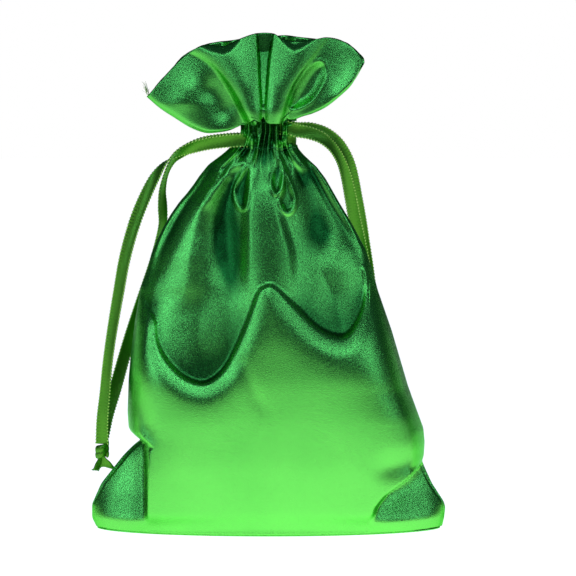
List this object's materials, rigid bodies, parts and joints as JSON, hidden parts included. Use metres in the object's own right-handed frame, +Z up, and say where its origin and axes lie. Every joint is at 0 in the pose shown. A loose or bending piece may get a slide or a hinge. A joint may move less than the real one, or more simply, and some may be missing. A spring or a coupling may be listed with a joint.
{
  "type": "fabric gift sack",
  "caption": "Satin drawstring gift bag standing on its base, stuffed and drawn closed, with a frilled heading and a knotted ribbon hanging at each side.",
  "frame": {"origin": "centre of the base on the ground, below the middle of the bag's bounding box", "axes": "+Z up from the base to the frill, -Y towards the front, +X to the viewer's right"},
  "size_m": [0.1553, 0.0703, 0.2116],
  "materials": {
    "satin": "glossy green polyester satin with a fine weave",
    "satin_reverse": "duller reverse side of the green satin",
    "ribbon": "yellow-green satin ribbon with woven picot edges",
    "sewing_thread": "matt green polyester thread"
  },
  "bodies": {
    "bag": {"front_panel": "satin", "back_panel": "satin", "base_fold": "satin", "bottom_seam_allowance": "satin_reverse", "left_side_seam": "satin_reverse", "right_side_seam": "satin_reverse", "left_seam_stitches": "sewing_thread", "right_seam_stitches": "sewing_thread", "front_casing_lining": "satin_reverse", "back_casing_lining": "satin_reverse", "lower_casing_stitches": "sewing_thread", "upper_casing_stitches": "sewing_thread", "left_ribbon_in_casing": "ribbon", "right_ribbon_in_casing": "ribbon"},
    "front_frill": {"front_heading": "satin", "front_top_hem": "satin"},
    "back_frill": {"back_heading": "satin", "back_top_hem": "satin"},
    "left_drawstring": {"left_front_ribbon_run": "ribbon", "left_back_ribbon_run": "ribbon"},
    "left_tail": {"left_front_ribbon_tail": "ribbon", "left_back_ribbon_tail": "ribbon", "left_knot": "ribbon", "left_ribbon_ends": "ribbon"},
    "right_drawstring": {"right_front_ribbon_run": "ribbon", "right_back_ribbon_run": "ribbon"},
    "right_tail": {"right_front_ribbon_tail": "ribbon", "right_back_ribbon_tail": "ribbon", "right_knot": "ribbon", "right_ribbon_ends": "ribbon"}
  },
  "joints": [
    {"name": "front_frill_fold", "type": "hinge", "parent": "bag", "child": "front_frill", "pos_m": [0, -0.0085, 0.1775], "axis": [1, 0, 0], "range_deg": [0, 20]},
    {"name": "back_frill_fold", "type": "hinge", "parent": "bag", "child": "back_frill", "pos_m": [0, 0.0085, 0.1775], "axis": [-1, 0, 0], "range_deg": [0, 20]},
    {"name": "left_drawstring_pull", "type": "slide", "parent": "bag", "child": "left_drawstring", "axis": [-1, 0, 0], "range_m": [0, 0.012]},
    {"name": "left_tail_swing", "type": "hinge", "parent": "left_drawstring", "child": "left_tail", "pos_m": [-0.0427, 0.0025, 0.1543], "axis": [0, 1, 0], "range_deg": [0, 75]},
    {"name": "right_drawstring_pull", "type": "slide", "parent": "bag", "child": "right_drawstring", "axis": [1, 0, 0], "range_m": [0, 0.012]},
    {"name": "right_tail_swing", "type": "hinge", "parent": "right_drawstring", "child": "right_tail", "pos_m": [0.0358, 0.019, 0.1543], "axis": [0, -1, 0], "range_deg": [0, 75]}
  ]
}
